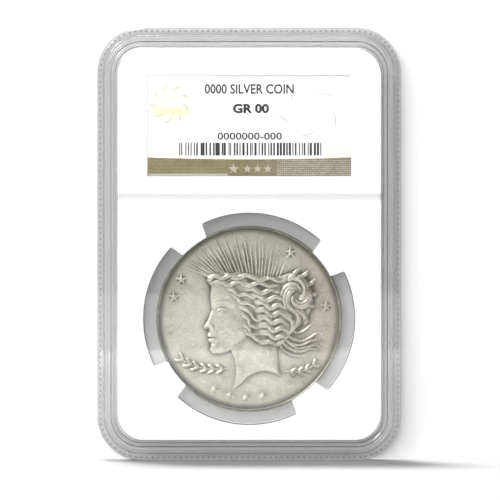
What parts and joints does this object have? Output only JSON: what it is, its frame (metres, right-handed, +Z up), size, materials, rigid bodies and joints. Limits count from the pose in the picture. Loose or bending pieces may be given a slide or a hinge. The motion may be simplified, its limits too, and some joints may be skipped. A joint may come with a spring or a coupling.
{
  "type": "graded coin slab",
  "caption": "Sealed clear plastic display slab with stacking rims, a white core whose prongs hold one large silver coin, and a printed grading label.",
  "frame": {"origin": "middle of the slab's bottom edge: centred in width and thickness, at the height of the surface it stands on", "axes": "+Z up along the slab's height, +X to the right and +Y to the back, so the front faces -Y"},
  "size_m": [0.062, 0.008, 0.0883],
  "materials": {
    "clear_plastic": "gloss",
    "white_core": "satin",
    "coin_silver": "satin",
    "label_paper": "matte",
    "gold_foil": "satin",
    "seal_foil": "gloss"
  },
  "bodies": {
    "holder": {"front_shell": "clear_plastic", "rear_shell": "clear_plastic", "coin_core": "white_core", "front_label": "label_paper", "foil_strip": "gold_foil", "rear_label": "label_paper", "rear_seal": "seal_foil"},
    "coin": {"coin": "coin_silver"}
  },
  "joints": [
    {"name": "coin_turn", "type": "hinge", "parent": "holder", "child": "coin", "pos_m": [0, 0, 0.0289], "axis": [0, 1, 0], "continuous": true}
  ]
}
